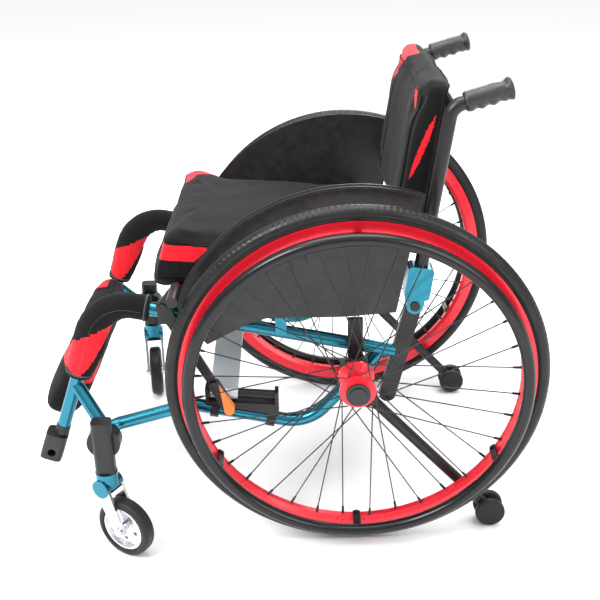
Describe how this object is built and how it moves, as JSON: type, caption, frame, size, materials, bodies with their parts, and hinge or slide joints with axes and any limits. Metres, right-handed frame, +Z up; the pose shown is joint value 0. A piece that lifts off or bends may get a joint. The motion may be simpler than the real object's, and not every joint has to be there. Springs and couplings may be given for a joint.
{
  "type": "manual wheelchair",
  "caption": "Manual wheelchair with a folding cross frame, cambered spoked wheels with handrims, swivel casters, brakes, side guards, padded seat and back, and anti-tip wheels.",
  "frame": {"origin": "on the ground, at the centre of the bounding box seen from above", "axes": "+X to the chair's left, -Y to its front, +Z up"},
  "size_m": [0.6702, 0.8326, 0.7562],
  "materials": {
    "frame_tube": "anodised satin",
    "black_metal": "satin",
    "steel": "polished",
    "guard": "fine texture",
    "brake": "satin, with an orange grip",
    "sleeve_fabric": "padded mesh cloth, red patch",
    "black_plastic": "matte",
    "caster_alloy": "polished",
    "tyre_rubber": "matte",
    "red_alloy": "anodised gloss",
    "spoke_steel": "gloss",
    "handrim_black": "gloss",
    "post_metal": "satin, teal socket",
    "grip_plastic": "ribbed",
    "small_wheel": "matte",
    "brace_alloy": "satin anodised",
    "sling_fabric": "woven",
    "cushion_fabric": "mesh cloth, red corner patches",
    "back_fabric": "mesh cloth, red panels",
    "pocket_fabric": "woven with piping",
    "calf_fabric": "padded mesh cloth, red patch"
  },
  "bodies": {
    "left_frame": {"left_seat_rail": "frame_tube", "left_lower_rail": "frame_tube", "left_slide_bracket": "black_metal", "left_caster_housing": "black_metal", "left_axle_plate": "black_metal", "left_axle_pin": "steel", "left_back_bracket": "black_metal", "left_sideguard": "guard", "left_brake_mount": "black_metal", "left_sleeve": "sleeve_fabric", "calf_pad": "calf_fabric"},
    "left_brake": {"left_brake_lever": "brake"},
    "left_foot": {"left_foot_tube": "steel", "left_foot_block": "black_plastic"},
    "left_fork": {"left_caster_fork": "frame_tube", "left_caster_axle": "steel"},
    "left_caster": {"left_caster_rim": "caster_alloy", "left_caster_tyre": "tyre_rubber"},
    "left_wheel": {"left_tyre": "tyre_rubber", "left_rim": "red_alloy", "left_spokes": "spoke_steel", "left_hub": "red_alloy", "left_handrim": "handrim_black"},
    "left_back": {"left_back_post": "post_metal", "left_push_grip": "grip_plastic", "back_pad": "back_fabric", "back_pocket": "pocket_fabric"},
    "left_antitip": {"left_antitip_arm": "black_metal"},
    "left_roller": {"left_antitip_wheel": "small_wheel"},
    "right_frame": {"right_seat_rail": "frame_tube", "right_lower_rail": "frame_tube", "right_slide_bracket": "black_metal", "right_caster_housing": "black_metal", "right_axle_plate": "black_metal", "right_axle_pin": "steel", "right_back_bracket": "black_metal", "right_sideguard": "guard", "right_brake_mount": "black_metal", "right_sleeve": "sleeve_fabric"},
    "right_brake": {"right_brake_lever": "brake"},
    "right_foot": {"right_foot_tube": "steel", "right_foot_block": "black_plastic"},
    "right_fork": {"right_caster_fork": "frame_tube", "right_caster_axle": "steel"},
    "right_caster": {"right_caster_rim": "caster_alloy", "right_caster_tyre": "tyre_rubber"},
    "right_wheel": {"right_tyre": "tyre_rubber", "right_rim": "red_alloy", "right_spokes": "spoke_steel", "right_hub": "red_alloy", "right_handrim": "handrim_black"},
    "right_back": {"right_back_post": "post_metal", "right_push_grip": "grip_plastic"},
    "right_antitip": {"right_antitip_arm": "black_metal"},
    "right_roller": {"right_antitip_wheel": "small_wheel"},
    "cross_a": {"brace_a": "brace_alloy", "brace_bolt": "steel"},
    "cross_b": {"brace_b": "brace_alloy"},
    "seat": {"seat_sling": "sling_fabric", "cushion": "cushion_fabric"}
  },
  "joints": [
    {"name": "frame_fold", "type": "hinge", "parent": "left_frame", "child": "cross_a", "pos_m": [0.203, -0.09925, 0.24823], "axis": [0, 0.9962, -0.0872], "range_deg": [0, 47.5], "deforming": ["seat_sling", "cushion", "back_pad", "back_pocket", "calf_pad"]},
    {"name": "brace_cross", "type": "hinge", "parent": "cross_a", "child": "cross_b", "pos_m": [0, -0.06869, 0.32787], "axis": [0, 0.9962, -0.0872], "range_deg": [-95, 0]},
    {"name": "frame_close", "type": "hinge", "parent": "cross_b", "child": "right_frame", "pos_m": [-0.203, -0.05243, 0.24413], "axis": [0, 0.9962, -0.0872], "range_deg": [0, 47.5]},
    {"name": "seat_rise", "type": "slide", "parent": "left_frame", "child": "seat", "axis": [0, 0.0872, 0.9962], "range_m": [0, 0.2466]},
    {"name": "left_recline", "type": "hinge", "parent": "left_frame", "child": "left_back", "pos_m": [0.203, 0.21028, 0.404], "axis": [1, 0, 0], "range_deg": [-15, 8]},
    {"name": "left_wheel_spin", "type": "hinge", "parent": "left_frame", "child": "left_wheel", "pos_m": [0.277, 0.11628, 0.29961], "axis": [0.9986, 0, -0.0523], "continuous": true},
    {"name": "left_swivel", "type": "hinge", "parent": "left_frame", "child": "left_fork", "pos_m": [0.28, -0.29072, 0.15], "axis": [0, 0, 1], "continuous": true},
    {"name": "left_caster_spin", "type": "hinge", "parent": "left_fork", "child": "left_caster", "pos_m": [0.295, -0.26474, 0.051], "axis": [0.866, -0.5, 0], "continuous": true},
    {"name": "left_antitip_swing", "type": "hinge", "parent": "left_frame", "child": "left_antitip", "pos_m": [0.2306, 0.13828, 0.25], "axis": [1, 0, 0], "range_deg": [0, 60]},
    {"name": "left_roller_spin", "type": "hinge", "parent": "left_antitip", "child": "left_roller", "pos_m": [0.2306, 0.34528, 0.028], "axis": [1, 0, 0], "continuous": true},
    {"name": "left_brake_throw", "type": "hinge", "parent": "left_frame", "child": "left_brake", "pos_m": [0.2288, -0.18572, 0.416], "axis": [-1, 0, 0], "range_deg": [0, 9]},
    {"name": "left_foot_slide", "type": "slide", "parent": "left_frame", "child": "left_foot", "axis": [0, -0.342, -0.9397], "range_m": [0, 0.04]},
    {"name": "right_recline", "type": "hinge", "parent": "right_frame", "child": "right_back", "pos_m": [-0.203, 0.21028, 0.404], "axis": [1, 0, 0], "range_deg": [-15, 8]},
    {"name": "right_wheel_spin", "type": "hinge", "parent": "right_frame", "child": "right_wheel", "pos_m": [-0.277, 0.11628, 0.29961], "axis": [-0.9986, 0, -0.0523], "continuous": true},
    {"name": "right_swivel", "type": "hinge", "parent": "right_frame", "child": "right_fork", "pos_m": [-0.28, -0.29072, 0.15], "axis": [0, 0, 1], "continuous": true},
    {"name": "right_caster_spin", "type": "hinge", "parent": "right_fork", "child": "right_caster", "pos_m": [-0.25029, -0.28655, 0.051], "axis": [-0.1392, 0.9903, 0], "continuous": true},
    {"name": "right_antitip_swing", "type": "hinge", "parent": "right_frame", "child": "right_antitip", "pos_m": [-0.2306, 0.13828, 0.25], "axis": [1, 0, 0], "range_deg": [0, 60]},
    {"name": "right_roller_spin", "type": "hinge", "parent": "right_antitip", "child": "right_roller", "pos_m": [-0.2306, 0.34528, 0.028], "axis": [1, 0, 0], "continuous": true},
    {"name": "right_brake_throw", "type": "hinge", "parent": "right_frame", "child": "right_brake", "pos_m": [-0.2288, -0.18572, 0.416], "axis": [-1, 0, 0], "range_deg": [0, 9]},
    {"name": "right_foot_slide", "type": "slide", "parent": "right_frame", "child": "right_foot", "axis": [0, -0.342, -0.9397], "range_m": [0, 0.04]}
  ],
  "couplings": [
    {"joint": "brace_cross", "follows": "frame_fold", "ratio": -2},
    {"joint": "frame_close", "follows": "frame_fold", "ratio": 1},
    {"joint": "seat_rise", "follows": "frame_fold", "m_per_rad": 0.29689},
    {"joint": "right_recline", "follows": "left_recline", "ratio": 1}
  ]
}
